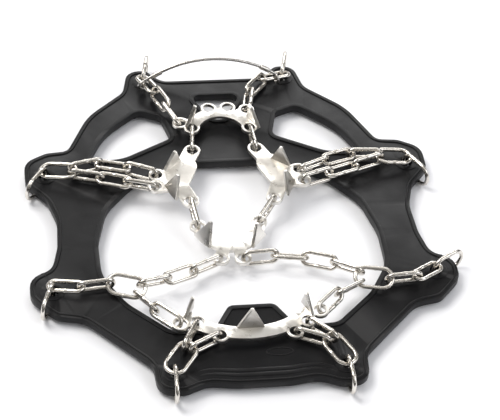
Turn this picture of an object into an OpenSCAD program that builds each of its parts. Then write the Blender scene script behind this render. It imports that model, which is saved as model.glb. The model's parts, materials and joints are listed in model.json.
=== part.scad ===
// Slip-on ice cleat for a shoe, lying flat with its spikes up.
// +Z up, toe toward +Y, +X right. The origin is the middle of the footprint, on the ground.

/* [Rubber harness] */
// Width over the two forefoot lugs
harness_width = 196; // [190:1:202]
// Thickness of the rubber sheet
rubber_t = 3.4; // [3:0.1:3.6]
// Height of the raised lip around the openings
lip_h = 0.6; // [0.4:0.1:0.7]
// Width of the raised lip
lip_w = 2.2; // [1.6:0.1:3]
// Diameter of the raised boss around each eyelet
boss_d = 11; // [10:0.5:12]
// Height of the boss
boss_h = 0.3; // [0.2:0.1:0.5]
// Diameter of each eyelet
eyelet_d = 5.8; // [5.7:0.1:6.2]

/* [Chain] */
// Diameter of the chain wire
wire_d = 2; // [1.8:0.05:2.05]
// Outer length of a chain link
link_len = 18.5; // [18:0.1:19]
// Outer width of a chain link
link_w = 8; // [7.8:0.1:8.2]
// Outer length of a lug ring
ring_len = 19.4; // [19.3:0.1:19.7]
// Outer width of a lug ring
ring_w = 12.6; // [12.4:0.1:13]
// Outer width of a fork ring, from which two strands leave
fork_w = 11.5; // [11.3:0.1:11.8]

/* [Spike plates] */
// Thickness of the stamped steel
plate_t = 1.6; // [1.2:0.1:1.8]
// Height of a bent-up spike above its plate
spike_h = 11; // [8:0.5:13]
// Diameter of the chain holes in the plates
hole_d = 5.4; // [5.2:0.1:5.6]
// Diameter of the wire rope across the toe
cable_d = 1.5; // [1.2:0.1:1.8]

/* [Display] */
// Which node to draw

/* [Hidden] */
$fn = 32;
rubber_color = [0.07, 0.07, 0.08];
steel_color = [0.82, 0.79, 0.74];
rubber_z = wire_d + 0.2;
ring_z = ring_w / 2;
plate_z = 10.4;
rear_plate_z = 7;
spread = harness_width / 196;
cut = 1;

// ---- Plan shapes ----

// Points of the arc that rounds one corner of a path; each point is [x, y, radius].
function corner(a, b, c, steps = 5) =
    let (
        p = [b.x, b.y],
        u = unit([a.x, a.y] - p),
        v = unit([c.x, c.y] - p),
        half = acos(u * v) / 2,
        reach = b.z / tan(half),
        centre = p + unit(u + v) * b.z / sin(half),
        from = p + u * reach - centre,
        to = p + v * reach - centre,
        sweep = 180 - 2 * half,
        side = cross(from, to) > 0 ? 1 : -1
    )
    b.z == 0 ? [p] : [for (i = [0:steps]) centre + turned(from, side * sweep * i / steps)];

function unit(v) = v / norm(v);
function turned(v, a) = [v.x * cos(a) - v.y * sin(a), v.x * sin(a) + v.y * cos(a)];
function rounded(path) =
    let (n = len(path))
    [for (i = [0:n - 1]) each corner(path[(i + n - 1) % n], path[i], path[(i + 1) % n])];
function flipped_plan(path) = [for (i = [len(path) - 1:-1:0]) [-path[i].x, path[i].y]];
// Half a harness outline is drawn; the other half is its mirror image.
function flipped(half) = [for (i = [len(half) - 1:-1:0]) [-half[i].x, half[i].y, half[i].z]];
function widened(half) = [for (p = half) [p.x * spread, p.y, p.z]];
function both_sides(half) = rounded(concat(widened(half), flipped(widened(half))));

// The same path moved outward by d, for a path that runs clockwise.
function grown(path, d) =
    let (n = len(path))
    [for (i = [0:n - 1])
        let (t = unit(path[(i + 1) % n] - path[(i + n - 1) % n]))
        path[i] + d * [-t.y, t.x]];

outline = both_sides([
    [26, 98.5, 8], [33, 107, 5], [42.5, 107.5, 7], [46, 91, 9], [65, 74, 34],
    [76.5, 49.5, 5], [87, 48.5, 8], [98, 42.5, 9], [98, 27.5, 8], [88.5, 16.3, 9], [84.5, 2, 22],
    [85.5, -16, 24], [89, -31, 8], [99.5, -33, 9], [99.5, -47, 9], [88.5, -59, 7],
    [76, -61.5, 12], [58, -80, 60], [48, -90.5, 10], [47, -106, 7], [35, -107, 7], [25, -102.5, 14],
    [12, -104.5, 40]
]);
sole_opening = both_sides([
    [18, 37, 12], [46, 26, 26], [61, 8, 26], [66.5, -14, 34], [66.5, -36, 24], [56, -54, 24],
    [38, -71.5, 8], [19, -72.5, 4], [10.5, -58, 4]
]);
bridge_opening = both_sides([[13, 86.5, 3], [3, 68, 3]]);
side_opening = rounded([
    [40, 76.5, 6], [58, 61, 40], [67.5, 40.5, 2.5], [50, 42, 18], [25, 55.5, 4], [29, 72, 4]
]);

// ---- Chain layout, from the lugs to the spike plates ----

// Each lug: name, eyelet x, eyelet y, and the heading in which its ring passes over the edge.
LUGS = [
    ["toe_left", -35, 98.5, 78], ["toe_right", 36, 98.5, 76],
    ["forefoot_left", -88.5, 32.5, 235], ["forefoot_right", 88.5, 31.8, 300],
    ["midfoot_left", -89.3, -43.8, 250], ["midfoot_right", 89, -42, 30],
    ["heel_left", -39, -96, 268], ["heel_right", 38, -96, 272]
];

// A ring stands a little inside its eyelet, and its wire is hooked at grip_z by a link that
// leaves along the heading.
ring_bow = (ring_w - wire_d) / 2;
ring_inset = 1.65;
grip_z = 8.4;
function lug_start(i, heading) =
    let (
        rise = grip_z - ring_z,
        reach = ring_bow - sqrt(ring_bow * ring_bow - rise * rise) - ring_inset,
        hook = wire_d / 2 + 0.2
    )
    [LUGS[i][1] + reach * cos(LUGS[i][3]) - hook * cos(heading),
     LUGS[i][2] + reach * sin(LUGS[i][3]) - hook * sin(heading), grip_z];

// The layout is drawn about the middle of the harness. The rings stand past it, so every part
// is moved by the middle of the whole footprint.
ring_reach = ring_len - wire_d - ring_inset;
function ring_tip(i) =
    [LUGS[i][1], LUGS[i][2]] + ring_reach * [cos(LUGS[i][3]), sin(LUGS[i][3])];
footprint_left = min([for (p = outline) p.x]);
footprint_right = ring_tip(5).x + wire_d / 2;
footprint_front = ring_tip(0).y + wire_d / 2;
footprint_back = ring_tip(6).y - wire_d / 2;
middle = [(footprint_left + footprint_right) / 2, (footprint_back + footprint_front) / 2];
module centred() {
    translate([-middle.x, -middle.y, 0]) children();
}

// Every chain is a list of the points where neighbouring links meet, and each link's roll.
// A link lies flat at roll 0 and stands on edge at roll 90.
TOE_LEFT = [lug_start(0, -70), [-30.6, 86.3, 10], [-26, 73.6, 10.9], [-21.3, 62.1, plate_z]];
TOE_LEFT_ROLLS = [-14, 56, 124];
TOE_RIGHT = [lug_start(1, 198), [25.5, 94.1, 9.4], [16.9, 83.2, 10], [14, 70.9, plate_z]];
TOE_RIGHT_ROLLS = [20, -52, -124];

FOREFOOT_LEFT_FORK = [lug_start(2, -15), [-75.2, 30, plate_z]];
FOREFOOT_LEFT_FRONT = [[-75.2, 31.7, plate_z], [-62.3, 34.4, plate_z], [-49.3, 30.8, plate_z],
    [-36.8, 25.3, plate_z]];
FOREFOOT_LEFT_BACK = [[-75.7, 28.4, plate_z], [-62.4, 24.8, plate_z], [-49.6, 20.7, plate_z],
    [-37.9, 17.2, plate_z]];
FOREFOOT_RIGHT_FORK = [lug_start(3, 190), [74.4, 32.2, plate_z]];
FOREFOOT_RIGHT_FRONT = [[74.4, 33.9, plate_z], [61, 34.8, plate_z], [47.6, 30.8, plate_z],
    [34.8, 25.3, plate_z]];
FOREFOOT_RIGHT_BACK = [[74.8, 30.6, plate_z], [61.5, 25.9, plate_z], [48.1, 21.4, plate_z],
    [35.9, 17.2, plate_z]];
FRONT_ROLLS = [82, 170, 72];
BACK_ROLLS = [98, 10, 108];

MIDFOOT_LEFT = [lug_start(4, -17), [-76.8, -46, plate_z], [-63, -44.5, plate_z]];
MIDFOOT_LEFT_ROLLS = [0, 100];
MIDFOOT_LEFT_FORK = [MIDFOOT_LEFT[2], [-49.2, -48.5, 9.6]];
MIDFOOT_LEFT_REAR = [[-49.4, -46.2, 10.7], [-36.8, -41.5, 8.2], [-24.2, -35.8, 7.2],
    [-11.8, -29.9, rear_plate_z]];
MIDFOOT_LEFT_HEEL = [[-51, -50.8, 8.1], [-44.9, -61.3, plate_z], [-35.1, -71.2, plate_z]];
MIDFOOT_RIGHT = [lug_start(5, 215), [78.5, -49.4, plate_z], [64.9, -50.5, plate_z]];
MIDFOOT_RIGHT_ROLLS = [0, 80];
MIDFOOT_RIGHT_FORK = [MIDFOOT_RIGHT[2], [50.9, -47.5, 10]];
MIDFOOT_RIGHT_REAR = [[52.1, -45.3, 11.1], [41.3, -36.8, 8.4], [28.5, -31.2, 7.2],
    [14.8, -28.8, 7], [1.1, -29.8, rear_plate_z]];
MIDFOOT_RIGHT_HEEL = [[51.4, -50, 8.6], [40.1, -57.7, 10.4], [30.6, -67.2, plate_z]];
fork_roll = 25;
LEFT_REAR_ROLLS = [110, 15, 95];
LEFT_HEEL_ROLLS = [118, 54];
RIGHT_REAR_ROLLS = [65, 140, 215, 290];
RIGHT_HEEL_ROLLS = [62, 128];

HEEL_LEFT_FORK = [lug_start(6, 54), [-31.9, -85.9, plate_z]];
HEEL_LEFT_OUTER = [[-33.5, -84.6, plate_z], [-27.2, -72.8, plate_z]];
HEEL_LEFT_INNER = [[-30.2, -87, plate_z], [-18.2, -80.6, plate_z]];
HEEL_RIGHT_FORK = [lug_start(7, 121), [32, -85.4, plate_z]];
HEEL_RIGHT_OUTER = [[33.6, -84.2, plate_z], [24.1, -74.7, plate_z]];
HEEL_RIGHT_INNER = [[30.1, -86.3, plate_z], [17.9, -80.6, plate_z]];

PLATE_LINK_FRONT_LEFT = [[-15.1, 55.7, plate_z], [-16.5, 42, plate_z]];
PLATE_LINK_FRONT_RIGHT = [[13.6, 54.7, plate_z], [14.5, 42, plate_z]];
PLATE_LINK_REAR_LEFT = [[-20.9, 4.8, plate_z - 0.3], [-19.2, -6.3, rear_plate_z + 0.3]];
PLATE_LINK_REAR_RIGHT = [[18.4, 4.8, plate_z - 0.3], [10.9, -5.4, rear_plate_z + 0.3]];

// ---- Chain parts ----

// A closed oval of round wire, centred on the origin, long along X, lying flat.
module wire_oval(len, width) {
    bow = (width - wire_d) / 2;
    straight = len - width;
    for (side = [-1, 1]) {
        translate([-straight / 2, side * bow, 0])
            rotate([0, 90, 0])
            cylinder(d = wire_d, h = straight);
        translate([side * straight / 2, 0, 0])
            rotate([0, 0, -side * 90])
            rotate_extrude(angle = 180)
            translate([bow, 0])
            circle(d = wire_d);
    }
}

// Stands an oval between two meeting points.
module stretched(a, b, roll) {
    d = b - a;
    translate((a + b) / 2)
        rotate([0, -asin(d.z / norm(d)), atan2(d.y, d.x)])
        rotate([roll, 0, 0])
        children();
}

module link(points, i, rolls) {
    color(steel_color)
        stretched(points[i], points[i + 1], rolls[i])
        wire_oval(link_len, link_w);
}

module strand(points, rolls) {
    for (i = [0:len(rolls) - 1]) link(points, i, rolls);
}

// The wide ring from which two strands leave.
module fork(points, roll) {
    color(steel_color)
        stretched(points[0], points[1], roll)
        wire_oval(ring_len, fork_w);
}

// The ring that stands in a lug's eyelet and passes round the lug's edge.
module lug_ring(i) {
    color(steel_color)
        translate([LUGS[i][1], LUGS[i][2], ring_z])
        rotate([0, 0, LUGS[i][3]])
        translate([(ring_len - wire_d) / 2 - ring_inset, 0, 0])
        rotate([90, 0, 0])
        wire_oval(ring_len, ring_w);
}

// ---- Spike plates ----

// A straight strip with round ends.
module bar(a, b, width, steps = 10) {
    way = atan2(b.y - a.y, b.x - a.x);
    function end(p, from, k) =
        p + width / 2 * [cos(from + 180 * k / steps), sin(from + 180 * k / steps)];
    polygon([for (k = [0:steps]) end(b, way - 90, k), for (k = [0:steps]) end(a, way + 90, k)]);
}

module arc_band(centre, inner, outer, from, to, steps = 16) {
    function at(r, k) =
        centre + r * [cos(from + (to - from) * k / steps), sin(from + (to - from) * k / steps)];
    polygon([for (k = [0:steps]) at(outer, k), for (k = [steps:-1:0]) at(inner, k)]);
}

module stamped(z, holes) {
    translate([0, 0, z - plate_t / 2])
    difference() {
        linear_extrude(plate_t) children();
        for (p = holes) translate([p.x, p.y, -cut]) cylinder(d = hole_d, h = plate_t + 2 * cut);
    }
}

// A triangular spike bent up from a plate: heading is the way its flat face looks.
module spike(at, z, heading, lean = 0, base = 11, height = spike_h) {
    translate([at.x, at.y, z])
        rotate([0, 0, heading + 90])
        rotate([90 - lean, 0, 0])
        translate([0, 0, -plate_t / 2])
        linear_extrude(plate_t)
        polygon([[-base / 2, 0], [base / 2, 0], [0.6, height], [-0.6, height]]);
}

FRONT_CENTRE = [-0.7, 53];
FRONT_HOLES = [[-15, 57], [13.5, 56.1], [-20.3, 61], [13.6, 69], [-5.2, 70.8], [4.4, 71]];
module front_plate() {
    color(steel_color) {
        stamped(plate_z, FRONT_HOLES) {
            arc_band(FRONT_CENTRE, 11.5, 18, 14, 166);
            for (p = FRONT_HOLES) translate(p) circle(d = lobe_d);
            bar([-20.3, 61], [-14, 60], 6);
            bar([13.6, 69], [8, 65], 6);
        }
        spike([-15.5, 62.5], plate_z, 155, 12);
        spike([16, 60.5], plate_z, 25, 12);
    }
}
lobe_d = hole_d + 2.4;

SIDE_HOLES = [[-16.6, 40.7], [-35.5, 24.7], [-36.6, 16.8], [-21.1, 6]];
module side_plate_shape() {
    bar([-16.6, 40.7], [-22, 30], 8);
    bar([-22, 30], [-26.5, 20], 13);
    bar([-26, 19], [-21.1, 6], 8);
    bar([-35.5, 24.7], [-27, 22], lobe_d);
    bar([-36.6, 16.8], [-27, 18], lobe_d);
}
module side_plate() {
    color(steel_color) {
        stamped(plate_z, SIDE_HOLES) side_plate_shape();
        spike([-27.5, 30.5], plate_z, 128, 8);
        spike([-30, 12.2], plate_z, 205, 20);
    }
}
module left_plate() {
    side_plate();
}
module right_plate() {
    translate([-2, 0, 0]) mirror([1, 0, 0]) side_plate();
}

REAR_CENTRE = [-4.4, -8];
REAR_HOLES = [[-19, -7.5], [10.2, -6.3], [-10.5, -29.3], [-0.3, -29.9]];
module rear_plate() {
    color(steel_color) {
        stamped(rear_plate_z, REAR_HOLES) {
            arc_band(REAR_CENTRE, 10.5, 17, 178, 364);
            for (p = REAR_HOLES) translate(p) circle(d = lobe_d);
            bar([-10.5, -29.3], [-8.5, -22], 6);
            bar([-0.3, -29.9], [-1.5, -22], 6);
        }
        spike([-18, -17.5], rear_plate_z, 215, 25);
        spike([8.4, -19], rear_plate_z, 320, 10);
    }
}

HEEL_CENTRE = [-3.5, -37];
HEEL_HOLES = [[-34, -72.1], [29.7, -68.2], [-26.5, -71.5], [-17, -80], [23.1, -73.7], [16.6, -80]];
module heel_plate() {
    color(steel_color) {
        stamped(plate_z, HEEL_HOLES) {
            arc_band(HEEL_CENTRE, 39, 46, 226, 314, 24);
            for (p = HEEL_HOLES) translate(p) circle(d = lobe_d);
            bar([-34, -72.1], [-31, -68], 7);
            bar([23.1, -73.7], [21, -71], 7);
        }
        spike([-3, -76], plate_z, 90, 0, 13, spike_h + 1);
        spike([-29.9, -65.6], plate_z, 150, 8, 9);
        spike([24.5, -66.5], plate_z, 20, 8);
    }
}

// ---- Toe cable ----

// Each eye of the cable is threaded on one leg of the first link of a toe chain.
function leg_middle(points, i, roll, side) =
    let (
        a = points[i],
        b = points[i + 1],
        across = unit([a.y - b.y, b.x - a.x, 0]),
        leg = side * (link_w - wire_d) / 2
    )
    (a + b) / 2 + leg * cos(roll) * across + [0, 0, leg * sin(roll)];
CABLE_ENDS = [leg_middle(TOE_LEFT, 0, TOE_LEFT_ROLLS[0], -1),
    leg_middle(TOE_RIGHT, 0, TOE_RIGHT_ROLLS[0], 1)];
CABLE_WAYS = [-70, 198];
cable_rise = 11;
cable_lean = 12;
eye_r = 2.3;
module cable_eye(i) {
    translate(CABLE_ENDS[i])
        rotate([0, 0, CABLE_WAYS[i]])
        rotate([0, 90, 0])
        rotate_extrude()
        translate([eye_r, 0])
        circle(d = cable_d);
}

// A wire rope that arches from the top of one eye to the top of the other.
module toe_cable() {
    a = CABLE_ENDS[0];
    d = CABLE_ENDS[1] - a;
    chord = norm(d);
    arch_r = (chord * chord / 4 + cable_rise * cable_rise) / (2 * cable_rise);
    half = asin(chord / 2 / arch_r);
    color(steel_color) {
        translate(a + d / 2 + [0, 0, eye_r])
            rotate([0, -asin(d.z / chord), atan2(d.y, d.x)])
            rotate([90 - cable_lean, 0, 0])
            translate([0, cable_rise - arch_r, 0])
            rotate([0, 0, 90 - half])
            rotate_extrude(angle = 2 * half)
            translate([arch_r, 0])
            circle(d = cable_d);
        for (i = [0, 1]) cable_eye(i);
    }
}

// ---- Rubber harness ----

module lip(path) {
    linear_extrude(lip_h) difference() {
        polygon(grown(path, lip_w));
        polygon(path);
    }
}

module rubber_harness() {
    openings = [sole_opening, bridge_opening, side_opening, flipped_plan(side_opening)];
    color(rubber_color)
        translate([0, 0, rubber_z])
        difference() {
            union() {
                linear_extrude(rubber_t) difference() {
                    polygon(outline);
                    for (path = openings) polygon(path);
                }
                translate([0, 0, rubber_t]) for (path = openings) lip(path);
                for (e = LUGS) translate([e[1], e[2], rubber_t]) cylinder(d = boss_d, h = boss_h);
            }
            for (e = LUGS)
                translate([e[1], e[2], -cut])
                cylinder(d = eyelet_d, h = rubber_t + lip_h + 2 * cut);
        }
}

centred() rubber_harness();
centred() toe_cable();
centred() front_plate();
centred() left_plate();
centred() right_plate();
centred() rear_plate();
centred() heel_plate();
centred() link(PLATE_LINK_FRONT_LEFT, 0, [90]);  // plate_link_front_left
centred() link(PLATE_LINK_FRONT_RIGHT, 0, [90]);  // plate_link_front_right
centred() link(PLATE_LINK_REAR_LEFT, 0, [90]);  // plate_link_rear_left
centred() link(PLATE_LINK_REAR_RIGHT, 0, [90]);  // plate_link_rear_right
centred() lug_ring(0);  // lug_ring_toe_left
centred() lug_ring(1);  // lug_ring_toe_right
centred() lug_ring(2);  // lug_ring_forefoot_left
centred() lug_ring(3);  // lug_ring_forefoot_right
centred() lug_ring(4);  // lug_ring_midfoot_left
centred() lug_ring(5);  // lug_ring_midfoot_right
centred() lug_ring(6);  // lug_ring_heel_left
centred() lug_ring(7);  // lug_ring_heel_right
centred() link(TOE_LEFT, 0, TOE_LEFT_ROLLS);  // toe_left_link_1
centred() link(TOE_LEFT, 1, TOE_LEFT_ROLLS);  // toe_left_link_2
centred() link(TOE_LEFT, 2, TOE_LEFT_ROLLS);  // toe_left_link_3
centred() link(TOE_RIGHT, 0, TOE_RIGHT_ROLLS);  // toe_right_link_1
centred() link(TOE_RIGHT, 1, TOE_RIGHT_ROLLS);  // toe_right_link_2
centred() link(TOE_RIGHT, 2, TOE_RIGHT_ROLLS);  // toe_right_link_3
centred() fork(FOREFOOT_LEFT_FORK, 0);  // forefoot_left_fork
centred() strand(FOREFOOT_LEFT_FRONT, FRONT_ROLLS);  // forefoot_left_front_strand
centred() strand(FOREFOOT_LEFT_BACK, BACK_ROLLS);  // forefoot_left_back_strand
centred() fork(FOREFOOT_RIGHT_FORK, 0);  // forefoot_right_fork
centred() strand(FOREFOOT_RIGHT_FRONT, FRONT_ROLLS);  // forefoot_right_front_strand
centred() strand(FOREFOOT_RIGHT_BACK, BACK_ROLLS);  // forefoot_right_back_strand
centred() link(MIDFOOT_LEFT, 0, MIDFOOT_LEFT_ROLLS);  // midfoot_left_link_1
centred() link(MIDFOOT_LEFT, 1, MIDFOOT_LEFT_ROLLS);  // midfoot_left_link_2
centred() fork(MIDFOOT_LEFT_FORK, fork_roll);  // midfoot_left_fork
centred() link(MIDFOOT_LEFT_REAR, 0, LEFT_REAR_ROLLS);  // midfoot_left_rear_link_1
centred() link(MIDFOOT_LEFT_REAR, 1, LEFT_REAR_ROLLS);  // midfoot_left_rear_link_2
centred() link(MIDFOOT_LEFT_REAR, 2, LEFT_REAR_ROLLS);  // midfoot_left_rear_link_3
centred() link(MIDFOOT_LEFT_HEEL, 0, LEFT_HEEL_ROLLS);  // midfoot_left_heel_link_1
centred() link(MIDFOOT_LEFT_HEEL, 1, LEFT_HEEL_ROLLS);  // midfoot_left_heel_link_2
centred() link(MIDFOOT_RIGHT, 0, MIDFOOT_RIGHT_ROLLS);  // midfoot_right_link_1
centred() link(MIDFOOT_RIGHT, 1, MIDFOOT_RIGHT_ROLLS);  // midfoot_right_link_2
centred() fork(MIDFOOT_RIGHT_FORK, -fork_roll);  // midfoot_right_fork
centred() link(MIDFOOT_RIGHT_REAR, 0, RIGHT_REAR_ROLLS);  // midfoot_right_rear_link_1
centred() link(MIDFOOT_RIGHT_REAR, 1, RIGHT_REAR_ROLLS);  // midfoot_right_rear_link_2
centred() link(MIDFOOT_RIGHT_REAR, 2, RIGHT_REAR_ROLLS);  // midfoot_right_rear_link_3
centred() link(MIDFOOT_RIGHT_REAR, 3, RIGHT_REAR_ROLLS);  // midfoot_right_rear_link_4
centred() link(MIDFOOT_RIGHT_HEEL, 0, RIGHT_HEEL_ROLLS);  // midfoot_right_heel_link_1
centred() link(MIDFOOT_RIGHT_HEEL, 1, RIGHT_HEEL_ROLLS);  // midfoot_right_heel_link_2
centred() fork(HEEL_LEFT_FORK, 0);  // heel_left_fork
centred() link(HEEL_LEFT_OUTER, 0, [90]);  // heel_left_outer_link
centred() link(HEEL_LEFT_INNER, 0, [90]);  // heel_left_inner_link
centred() fork(HEEL_RIGHT_FORK, 0);  // heel_right_fork
centred() link(HEEL_RIGHT_OUTER, 0, [90]);  // heel_right_outer_link
centred() link(HEEL_RIGHT_INNER, 0, [90]);  // heel_right_inner_link
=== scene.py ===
import json
import math

import bmesh
import bpy
import numpy as np
from mathutils import Matrix, Vector


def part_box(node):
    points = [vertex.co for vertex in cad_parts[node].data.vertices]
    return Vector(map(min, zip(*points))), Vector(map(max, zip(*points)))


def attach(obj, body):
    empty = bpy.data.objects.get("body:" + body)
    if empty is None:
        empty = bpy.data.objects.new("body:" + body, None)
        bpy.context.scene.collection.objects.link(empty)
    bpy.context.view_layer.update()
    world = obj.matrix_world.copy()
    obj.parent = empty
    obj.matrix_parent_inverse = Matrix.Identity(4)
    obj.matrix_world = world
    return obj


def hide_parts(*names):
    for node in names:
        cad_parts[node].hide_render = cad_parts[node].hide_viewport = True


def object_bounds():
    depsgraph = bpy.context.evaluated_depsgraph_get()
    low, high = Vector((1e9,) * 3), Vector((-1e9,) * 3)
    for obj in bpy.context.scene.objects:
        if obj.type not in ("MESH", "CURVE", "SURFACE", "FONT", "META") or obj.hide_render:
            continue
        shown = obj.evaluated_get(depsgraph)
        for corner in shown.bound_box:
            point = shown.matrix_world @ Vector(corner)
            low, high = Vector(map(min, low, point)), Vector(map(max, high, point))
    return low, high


MM = 0.001
UP = np.array([0, 0, 1.0])
SAME_PLACE = 1e-6  # points closer than this are one point

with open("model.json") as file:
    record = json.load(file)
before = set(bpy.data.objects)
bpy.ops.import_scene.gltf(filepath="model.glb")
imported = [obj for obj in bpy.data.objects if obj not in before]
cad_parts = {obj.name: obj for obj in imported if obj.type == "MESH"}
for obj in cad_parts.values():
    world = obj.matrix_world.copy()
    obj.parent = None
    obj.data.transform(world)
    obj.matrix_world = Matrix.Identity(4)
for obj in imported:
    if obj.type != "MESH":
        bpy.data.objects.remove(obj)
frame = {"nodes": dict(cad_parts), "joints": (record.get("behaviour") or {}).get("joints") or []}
cad_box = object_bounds()
nodes = frame["nodes"]


# ---- Node helpers ----

class Graph:
    """A short way to write a material's node tree."""

    def __init__(self, name):
        self.material = bpy.data.materials.new(name)
        self.material.use_nodes = True
        self.tree = self.material.node_tree
        self.shader = self.tree.nodes["Principled BSDF"]

    def node(self, kind, **settings):
        made = self.tree.nodes.new(kind)
        for key, value in settings.items():
            setattr(made, key, value)
        return made

    def link(self, source, target):
        self.tree.links.new(source, target)

    def coordinates(self, stretch):
        place = self.node("ShaderNodeMapping")
        place.inputs["Scale"].default_value = stretch
        self.link(self.node("ShaderNodeTexCoord").outputs["Object"], place.inputs["Vector"])
        return place.outputs["Vector"]

    def noise(self, scale, detail, roughness=0.55, stretch=(1, 1, 1)):
        made = self.node("ShaderNodeTexNoise")
        made.inputs["Scale"].default_value = scale
        made.inputs["Detail"].default_value = detail
        made.inputs["Roughness"].default_value = roughness
        self.link(self.coordinates(stretch), made.inputs["Vector"])
        return made.outputs["Fac"]

    def ramp(self, value, low, high, low_at=0.3, high_at=0.7):
        """A colour that goes from low to high as the value goes from low_at to high_at."""
        made = self.node("ShaderNodeValToRGB")
        for element, place, color in zip(made.color_ramp.elements, (low_at, high_at), (low, high)):
            element.position = place
            element.color = (*color, 1)
        self.link(value, made.inputs["Fac"])
        return made.outputs["Color"]

    def grey(self, value, low, high, low_at=0.3, high_at=0.7):
        return self.ramp(value, (low,) * 3, (high,) * 3, low_at, high_at)

    def cover(self, under, color, amount):
        """One colour laid over another, as strongly as amount says at each point."""
        made = self.node("ShaderNodeMix", data_type="RGBA")
        sockets = {socket.name: socket for socket in made.inputs if socket.enabled}
        self.link(amount, sockets["Factor"])
        self.link(under, sockets["A"])
        sockets["B"].default_value = (*color, 1)
        return next(socket for socket in made.outputs if socket.enabled)

    def edges(self):
        """Above a half on outward edges and under a half in creases."""
        return self.node("ShaderNodeNewGeometry").outputs["Pointiness"]

    def bump(self, height, distance, strength, under=None):
        made = self.node("ShaderNodeBump")
        made.inputs["Strength"].default_value = strength
        made.inputs["Distance"].default_value = distance
        self.link(height, made.inputs["Height"])
        if under is not None:
            self.link(under, made.inputs["Normal"])
        return made.outputs["Normal"]

    def finish(self, **inputs):
        """Sets the shader's inputs, each to a number or to another node's output."""
        for name, value in inputs.items():
            socket = self.shader.inputs[name.replace("_", " ")]
            if hasattr(value, "is_output"):
                self.link(value, socket)
            else:
                socket.default_value = value
        return self.material


# ---- Materials ----

def moulded_rubber():
    """Satin black rubber: a fine moulded grain, faint dust, and a painted highlight along its outward
    edges.
    """
    g = Graph("moulded_rubber")
    body = g.ramp(g.noise(45, 5), (0.0034, 0.0034, 0.0040), (0.0072, 0.0071, 0.0080), high_at=0.75)
    dust = g.grey(g.noise(140, 8, 0.7), 0.0, 0.08, low_at=0.56, high_at=0.85)
    dusty = g.cover(body, (0.09, 0.087, 0.085), amount=dust)
    # painted highlight: a lighter colour on outward edges, where light catches them
    painted_edge_highlight = g.grey(g.edges(), 0.0, 0.35, low_at=0.52, high_at=0.62)
    color = g.cover(dusty, (0.075, 0.073, 0.072), amount=painted_edge_highlight)
    grain = g.bump(g.noise(2600, 3), distance=0.04 * MM, strength=0.5)
    swells = g.bump(g.noise(70, 3), distance=0.3 * MM, strength=0.35, under=grain)
    roughness = g.grey(g.noise(90, 6), 0.33, 0.47)
    return g.finish(Base_Color=color, Roughness=roughness, Normal=swells, Specular_IOR_Level=0.2)


def plated_wire():
    """Bright nickel-plated wire: fine drawing marks, small dents, duller patches and painted shade in
    its creases.
    """
    g = Graph("plated_wire")
    patches = g.ramp(g.noise(170, 6), (0.60, 0.565, 0.515), (0.84, 0.81, 0.755), high_at=0.72)
    # painted shade: a darker colour in the creases of the wire, where shade falls
    painted_crease_shade = g.grey(g.edges(), 0.55, 0.0, low_at=0.43, high_at=0.5)
    color = g.cover(patches, (0.16, 0.145, 0.13), amount=painted_crease_shade)
    marks = g.bump(g.noise(3200, 4), distance=0.02 * MM, strength=0.5)
    dents = g.bump(g.noise(420, 4), distance=0.12 * MM, strength=0.45, under=marks)
    roughness = g.grey(g.noise(520, 5), 0.13, 0.3)
    return g.finish(Base_Color=color, Metallic=1.0, Roughness=roughness, Normal=dents)


def stamped_steel():
    """Stamped stainless sheet: a fine rolled grain, faint stains and a painted highlight along its
    outward edges.
    """
    g = Graph("stamped_steel")
    stains = g.ramp(g.noise(110, 6), (0.56, 0.53, 0.485), (0.76, 0.73, 0.68), low_at=0.25)
    # painted highlight: a lighter colour on outward edges, where light catches them
    bright = g.grey(g.edges(), 0.0, 0.6, low_at=0.51, high_at=0.58)
    color = g.cover(stains, (0.93, 0.92, 0.89), amount=bright)
    rolled = g.bump(g.noise(900, 3, stretch=(0.12, 3.2, 1)), distance=0.03 * MM, strength=0.5)
    pits = g.bump(g.noise(1500, 5), distance=0.03 * MM, strength=0.4, under=rolled)
    roughness = g.grey(g.noise(260, 6), 0.24, 0.42)
    return g.finish(Base_Color=color, Metallic=1.0, Roughness=roughness, Normal=pits)


def rope_wire():
    """The fine wires of the toe cable, a little duller than the chain."""
    g = Graph("rope_wire")
    color = g.ramp(g.noise(300, 5), (0.45, 0.43, 0.41), (0.72, 0.70, 0.67))
    roughness = g.grey(g.noise(700, 4), 0.2, 0.38)
    marks = g.bump(g.noise(3000, 3), distance=0.02 * MM, strength=0.4)
    return g.finish(Base_Color=color, Metallic=1.0, Roughness=roughness, Normal=marks)


RUBBER = moulded_rubber()
WIRE = plated_wire()
SHEET = stamped_steel()
ROPE = rope_wire()


def wear(piece, material):
    piece.data.materials.clear()
    piece.data.materials.append(material)


# ---- Mesh helpers ----

def new_piece(name, vertices, faces, material, body, slot):
    """A smooth piece that rides on a body and wears the given material. Its slot argument is not used.
    """
    mesh = bpy.data.meshes.new(name)
    mesh.from_pydata([tuple(v) for v in vertices], [], faces)
    mesh.polygons.foreach_set("use_smooth", [True] * len(mesh.polygons))
    piece = bpy.data.objects.new(name, mesh)
    bpy.context.scene.collection.objects.link(piece)
    wear(piece, material)
    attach(piece, body)
    return piece


def unit(rows):
    return rows / np.linalg.norm(rows, axis=1)[:, None]


def ring_points(middle, across, up, radius, around):
    """Points on a circle round middle, in the plane of across and up."""
    turns = [2 * math.pi * j / around for j in range(around)]
    return [middle + radius * (math.cos(turn) * across + math.sin(turn) * up) for turn in turns]


def skin(rings, around, closed):
    """Faces that join each ring of points to the next, and the last to the first if closed."""
    faces = []
    for k in range(rings if closed else rings - 1):
        for j in range(around):
            a = k * around
            b = (k + 1) % rings * around
            c = (j + 1) % around
            faces.append((a + j, b + j, b + c, a + c))
    return faces


def joined(parts):
    """Several pairs of vertices and faces as one pair."""
    vertices, faces = [], []
    for more, quads in parts:
        faces += [tuple(len(vertices) + i for i in quad) for quad in quads]
        vertices += more
    return vertices, faces


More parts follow.
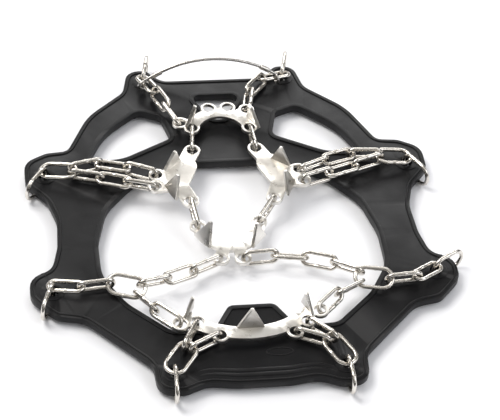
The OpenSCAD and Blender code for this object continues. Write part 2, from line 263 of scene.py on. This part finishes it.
def islands(node):
    """The separate solids of a node, each as an array of its triangles' corners."""
    bm = bmesh.new()
    bm.from_mesh(nodes[node].data)
    bmesh.ops.remove_doubles(bm, verts=bm.verts, dist=SAME_PLACE)
    bmesh.ops.triangulate(bm, faces=bm.faces)
    seen = set()
    found = []
    for seed in bm.faces:
        if seed in seen:
            continue
        seen.add(seed)
        group = [seed]
        for face in group:
            for edge in face.edges:
                for other in edge.link_faces:
                    if other not in seen:
                        seen.add(other)
                        group.append(other)
        found.append(np.array([[v.co[:] for v in face.verts] for face in group]))
    bm.free()
    return found


# ---- Chain links ----

WELD_REACH = 0.9 * MM  # half the length of a weld bead
WELD_SWELL = 0.16  # how much thicker than the wire the bead is, as a part of the wire


def oval_axes(triangles):
    """Centre, long axis, wide axis, and the length, width and wire size of an oval of wire."""
    sides = triangles[:, 1:] - triangles[:, :1]
    area = np.linalg.norm(np.cross(sides[:, 0], sides[:, 1]), axis=1) / 2
    middle = triangles.mean(axis=1)
    centre = (middle * area[:, None]).sum(axis=0) / area.sum()
    local = triangles - centre
    total = local.sum(axis=1)
    spread = np.einsum("n,nij,nik->jk", area, local, local)
    spread += np.einsum("n,nj,nk->jk", area, total, total)
    thin, wide, long = np.linalg.eigh(spread)[1].T
    extent = [np.ptp(local.reshape(-1, 3) @ axis) for axis in (long, wide, thin)]
    return centre, long, wide, extent


def oval_point(at, leg, bow):
    """A flat oval's point at a distance along it, and the direction out of the oval there."""
    half = leg + math.pi * bow
    if at >= half:
        place, out = oval_point(at - half, leg, bow)
        return -place, -out
    if at < leg:
        return np.array([at - leg / 2, -bow]), np.array([0, -1.0])
    turn = (at - leg) / bow - math.pi / 2
    out = np.array([math.cos(turn), math.sin(turn)])
    return (leg / 2, 0) + bow * out, out


def oval_wire(centre, long, wide, extent, weld_side, around=18, along=120):
    """Vertices and faces of a closed oval of round wire with a weld bead halfway along one leg."""
    length, width, wire = extent
    bow = (width - wire) / 2
    leg = length - width
    loop = 2 * (leg + math.pi * bow)
    plane = np.stack([long, wide])
    normal = np.cross(long, wide)
    vertices = []
    for k in range(along):
        place, out = oval_point((k + 0.5) * loop / along, leg, bow)
        on_weld_leg = place[1] * weld_side > 0.9 * bow
        bead = math.exp(-((place[0] / WELD_REACH) ** 2)) if on_weld_leg else 0
        radius = wire / 2 * (1 + WELD_SWELL * bead)
        vertices += ring_points(centre + place @ plane, out @ plane, normal, radius, around)
    return vertices, skin(along, around, closed=True)


def rebuild_chain(node):
    """Replaces a link, ring, fork or strand by smooth welded wire in the same place."""
    ovals = []
    for k, triangles in enumerate(islands(node)):
        weld_side = -1 if (k + len(node)) % 2 else 1
        ovals.append(oval_wire(*oval_axes(triangles), weld_side))
    piece = new_piece(node + "_wire", *joined(ovals), WIRE, node, "chain_steel")
    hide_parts(node)


CHAIN_WORDS = ("link", "ring", "fork", "strand")
CHAIN = [name for name in nodes if any(word in name for word in CHAIN_WORDS)]
for name in CHAIN:
    rebuild_chain(name)


# ---- Plates and harness: the frame's own solids with softened edges ----

def soften(node, material, width, segments, angle):
    """Gives a node its material, and rounds its edges that are sharper than angle, in degrees."""
    piece = nodes[node]
    wear(piece, material)
    weld = piece.modifiers.new("weld", "WELD")
    weld.merge_threshold = SAME_PLACE
    bevel = piece.modifiers.new("soft_edges", "BEVEL")
    bevel.width = width
    bevel.segments = segments
    bevel.limit_method = "ANGLE"
    bevel.angle_limit = math.radians(angle)
    bevel.harden_normals = True
    piece.data.polygons.foreach_set("use_smooth", [True] * len(piece.data.polygons))


PLATES = [name for name in nodes if name.endswith("_plate")]
for name in PLATES:
    soften(name, SHEET, width=0.22 * MM, segments=2, angle=35)
soften("rubber_harness", RUBBER, width=0.5 * MM, segments=3, angle=40)
wear(nodes["toe_cable"], ROPE)


# ---- Toe cable: twisted wires over the frame's core, with a crimp at each end ----

# Parts of the cable's length: the bare core between its eyes, and what the twisted wires cover.
CORE_FROM = 0.14
CORE_TO = 0.86
TWIST_FROM = 0.06
TWIST_TO = 0.93

PATH_POINTS = 160
CRIMP_POINTS = 12  # a crimp's length, in points of the path
CRIMP_INSET = 2  # how far in from the path's end a crimp starts, in points of the path
CRIMP_RADIUS = 1.25 * MM


def cable_path():
    """Points along the cable's arch, from a smooth curve through the frame's own solid."""
    joint = next(j for j in frame["joints"] if j["child"] == "toe_cable")
    start = np.array(joint["pos_m"])
    along = np.array(joint["axis"])
    solid = np.concatenate(islands("toe_cable")).reshape(-1, 3) - start
    reach = solid @ along
    across = solid - np.outer(reach, along)
    core = (reach > CORE_FROM * reach.max()) & (reach < CORE_TO * reach.max())
    curves = [np.polyfit(reach[core], across[core][:, k], 4) for k in range(3)]
    steps = np.linspace(TWIST_FROM * reach.max(), TWIST_TO * reach.max(), PATH_POINTS)
    offset = np.stack([np.polyval(curve, steps) for curve in curves], axis=1)
    return start + np.outer(steps, along) + offset


def tube(points, radius, around):
    """Vertices and faces of a round tube along points, closed at both ends."""
    ways = unit(np.gradient(points, axis=0))
    side = np.cross(ways[0], UP)
    vertices = []
    for point, way in zip(points, ways):
        side = side - way * (side @ way)
        side /= np.linalg.norm(side)
        vertices += ring_points(point, side, np.cross(way, side), radius, around)
    first_end = tuple(range(around))
    last_end = tuple(range(len(vertices) - 1, len(vertices) - 1 - around, -1))
    return vertices, skin(len(points), around, closed=False) + [first_end, last_end]


def twisted_rope(path, wires=6, lay=7 * MM, offset=0.55 * MM, radius=0.27 * MM):
    """Wires wound round a path, each with one full turn in every lay."""
    ways = unit(np.gradient(path, axis=0))
    side = unit(np.cross(ways, UP))
    up = np.cross(ways, side)
    travelled = np.concatenate([[0], np.cumsum(np.linalg.norm(np.diff(path, axis=0), axis=1))])
    strands = []
    for wire in range(wires):
        turn = 2 * math.pi * (travelled / lay + wire / wires)
        helix = path + offset * (np.cos(turn)[:, None] * side + np.sin(turn)[:, None] * up)
        strands.append(tube(helix, radius, around=8))
    return joined(strands)


def crimp(name, part):
    new_piece(name, *tube(part, CRIMP_RADIUS, around=20), SHEET, "toe_cable", "cable_steel")


path = cable_path()
new_piece("toe_cable_twist", *twisted_rope(path), ROPE, "toe_cable", "cable_steel")
crimp("toe_cable_crimp_left", path[CRIMP_INSET:CRIMP_INSET + CRIMP_POINTS])
crimp("toe_cable_crimp_right", path[-CRIMP_INSET - CRIMP_POINTS:-CRIMP_INSET])


# ---- Harness details, along the frame's own edges ----

LIP_RISE = 0.6 * MM  # height of the harness's raised lips above its sheet
RIM_STEP = 1.2 * MM  # spacing of the points along the outer edge

# The swelling of the heel band, a long closed bead that is thickest at the middle.
BULGE_HALF_LENGTH = 34 * MM
BULGE_BAND = 16 * MM  # the swelling stays within this distance of the heel's end
BULGE_INSET = 5.2 * MM
BULGE_WIDTH = 2.6 * MM
BULGE_SUNK = 0.5 * MM
BULGE_RADIUS = 1.5 * MM

# The plain oval mark on the heel band, right of the middle.
OVAL_LONG = 6 * MM
OVAL_SHORT = 2.2 * MM
OVAL_RIGHT = 7 * MM
OVAL_FROM_HEEL = 20 * MM


def edge_loops(height):
    """The closed edges of the harness's flat faces at one height, as arrays of points."""
    bm = bmesh.new()
    bm.from_mesh(nodes["rubber_harness"].data)
    bmesh.ops.remove_doubles(bm, verts=bm.verts, dist=SAME_PLACE)
    level = 0.05 * MM
    flat = {f for f in bm.faces if f.normal.z > 0.99 and abs(f.calc_center_median().z - height) < level}
    border = [edge for edge in bm.edges if sum(face in flat for face in edge.link_faces) == 1]
    left = set(border)
    loops = []
    for first in border:
        if first not in left:
            continue
        edge = first
        loop = [edge.verts[0]]
        while edge is not None:
            left.remove(edge)
            loop.append(edge.other_vert(loop[-1]))
            edge = next((other for other in loop[-1].link_edges if other in left), None)
        loops.append(np.array([v.co[:] for v in loop[:-1]]))
    bm.free()
    return loops


def side_lengths(loop):
    return np.linalg.norm(np.roll(loop, -1, axis=0) - loop, axis=1)


def evenly(loop, step):
    """The closed loop resampled with an even step and gently smoothed."""
    at = np.concatenate([[0], np.cumsum(side_lengths(loop))])
    closed = np.vstack([loop, loop[:1]])
    where = np.linspace(0, at[-1], int(at[-1] / step), endpoint=False)
    even = np.stack([np.interp(where, at, closed[:, k]) for k in range(3)], axis=1)
    for _ in range(3):
        even = (np.roll(even, 1, axis=0) + 2 * even + np.roll(even, -1, axis=0)) / 4
    return even


def left_of(loop):
    """The level direction to the left of the way round, at each point of a closed flat loop."""
    way = unit(np.roll(loop, -1, axis=0) - np.roll(loop, 1, axis=0))
    return np.stack([-way[:, 1], way[:, 0], 0 * way[:, 0]], axis=1)


def inset(loop, distance):
    """A closed flat loop moved inwards. A positive area means that it runs anticlockwise."""
    x = loop[:, 0]
    y = loop[:, 1]
    area = (x * np.roll(y, -1) - y * np.roll(x, -1)).sum()
    return loop + left_of(loop) * distance * np.sign(area)


def rubber_bead(name, loop, radii, squeeze, around=12):
    """A closed bead of rubber along a closed flat loop, with its own radius at each point."""
    vertices = []
    for point, across, radius in zip(loop, left_of(loop), radii):
        vertices += ring_points(point, across, squeeze * UP, radius, around)
    faces = [quad[::-1] for quad in skin(len(loop), around, closed=True)]
    new_piece(name, vertices, faces, RUBBER, "rubber_harness", "harness_rubber")


def outer_rim(edge):
    """A bead just inside the harness's outer edge."""
    rubber_bead("harness_outer_rim", inset(edge, 1.7 * MM), [0.55 * MM] * len(edge), squeeze=0.9)


def heel_bulge(edge, heel_end):
    line = inset(edge, BULGE_INSET)
    at_heel = (line[:, 1] < heel_end + BULGE_BAND) & (np.abs(line[:, 0]) < BULGE_HALF_LENGTH)
    front = line[at_heel]
    front = front[np.argsort(front[:, 0])] - (0, 0, BULGE_SUNK)
    back = front[::-1] + (0, BULGE_WIDTH, 0)
    loop = evenly(np.vstack([front, back]), 0.8 * MM)
    swell = np.sqrt(np.clip(1 - (loop[:, 0] / BULGE_HALF_LENGTH) ** 2, 0.05, 1))
    rubber_bead("heel_bulge", loop, BULGE_RADIUS * swell, squeeze=0.8)


def heel_oval(heel_end, height):
    turns = np.linspace(0, 2 * math.pi, 60, endpoint=False)
    oval = np.stack([OVAL_LONG * np.cos(turns), OVAL_SHORT * np.sin(turns), 0 * turns], axis=1)
    oval += (OVAL_RIGHT, heel_end + OVAL_FROM_HEEL, height)
    rubber_bead("heel_oval", oval, [0.35 * MM] * len(oval), squeeze=1.0)


lowest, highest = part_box("rubber_harness")
heel_end = lowest[1]
sheet_top = highest[2] - LIP_RISE
outline = max(edge_loops(sheet_top), key=lambda loop: side_lengths(loop).sum())
edge = evenly(outline, RIM_STEP)
edge[:, 2] = sheet_top
outer_rim(edge)
heel_bulge(edge, heel_end)
heel_oval(heel_end, sheet_top)


# ---- Studio ----

FLOOR_GAP = 0.2 * MM  # keeps the floor's face clear of the part's lowest points
FLOOR_HALF = 6.0

# The camera's place, aim and up direction, in metres from the middle of the part.
VIEW_FROM = (-0.1297, -0.6864, 0.677)
LOOK_AT = (0.004, -0.004, 0)
VIEW_UP = (0.0325, 0.642, 0.766)
LENS = 148


def paper_floor():
    g = Graph("paper_floor")
    color = g.ramp(g.noise(3, 3), (0.86, 0.86, 0.875), (0.88, 0.88, 0.89))
    material = g.finish(Base_Color=color, Roughness=0.85)
    corners = [(x * FLOOR_HALF, y * FLOOR_HALF, 0) for x, y in ((-1, -1), (1, -1), (1, 1), (-1, 1))]
    mesh = bpy.data.meshes.new("floor")
    mesh.from_pydata(corners, [], [(0, 1, 2, 3)])
    floor = bpy.data.objects.new("floor", mesh)
    floor.location.z = -FLOOR_GAP
    bpy.context.scene.collection.objects.link(floor)
    wear(floor, material)


def soft_light(name, place, size, power, color):
    """A rectangle of light that faces the origin."""
    data = bpy.data.lights.new(name, "AREA")
    data.shape = "RECTANGLE"
    data.size, data.size_y = size
    data.energy = power
    data.color = color
    light = bpy.data.objects.new(name, data)
    light.location = place
    light.rotation_euler = (-Vector(place)).to_track_quat("-Z", "Y").to_euler()
    bpy.context.scene.collection.objects.link(light)


def sky():
    """White to the camera. Reflections see a bright top and a darker room, so the wire has contrast."""
    world = bpy.data.worlds.new("studio")
    world.use_nodes = True
    tree = world.node_tree
    tree.nodes.clear()
    output = tree.nodes.new("ShaderNodeOutputWorld")
    plain = tree.nodes.new("ShaderNodeBackground")
    room = tree.nodes.new("ShaderNodeBackground")
    either = tree.nodes.new("ShaderNodeMixShader")
    rays = tree.nodes.new("ShaderNodeLightPath")
    where = tree.nodes.new("ShaderNodeTexCoord")
    split = tree.nodes.new("ShaderNodeSeparateXYZ")
    shades = tree.nodes.new("ShaderNodeValToRGB")
    plain.inputs["Color"].default_value = (0.93, 0.93, 0.95, 1)
    plain.inputs["Strength"].default_value = 0.55
    stops = shades.color_ramp.elements
    stops[0].color = (0.03, 0.03, 0.033, 1)
    stops[1].color = (0.75, 0.74, 0.72, 1)
    stops.new(0.3).color = (0.05, 0.048, 0.046, 1)
    stops.new(0.72).color = (0.34, 0.33, 0.31, 1)
    link = tree.links.new
    link(where.outputs["Generated"], split.inputs["Vector"])
    link(split.outputs["Z"], shades.inputs["Fac"])
    link(shades.outputs["Color"], room.inputs["Color"])
    link(rays.outputs["Is Glossy Ray"], either.inputs["Fac"])
    link(plain.outputs["Background"], either.inputs[1])
    link(room.outputs["Background"], either.inputs[2])
    link(either.outputs["Shader"], output.inputs["Surface"])
    bpy.context.scene.world = world


def camera(eye, aim, up, lens):
    """A camera at eye that looks at aim, with its own up direction, so the picture keeps its tilt."""
    data = bpy.data.cameras.new("camera")
    data.lens = lens
    data.clip_start = 0.01
    made = bpy.data.objects.new("camera", data)
    back = (Vector(eye) - Vector(aim)).normalized()
    right = Vector(up).cross(back).normalized()
    matrix = Matrix((right, back.cross(right), back)).transposed().to_4x4()
    matrix.translation = eye
    made.matrix_world = matrix
    bpy.context.scene.collection.objects.link(made)
    bpy.context.scene.camera = made


paper_floor()
soft_light("key", place=(-0.9, 0.5, 1.5), size=(1.0, 1.0), power=24, color=(1.0, 0.985, 0.96))
soft_light("fill", place=(1.3, -0.6, 1.1), size=(1.4, 1.0), power=10, color=(0.94, 0.96, 1.0))
soft_light("back", place=(0.3, 1.6, 0.9), size=(1.6, 0.6), power=14, color=(1.0, 1.0, 1.0))
sky()
centre = np.mean(cad_box, axis=0)
camera(centre + VIEW_FROM, centre + LOOK_AT, VIEW_UP, LENS)
bpy.context.scene.view_settings.view_transform = "Standard"
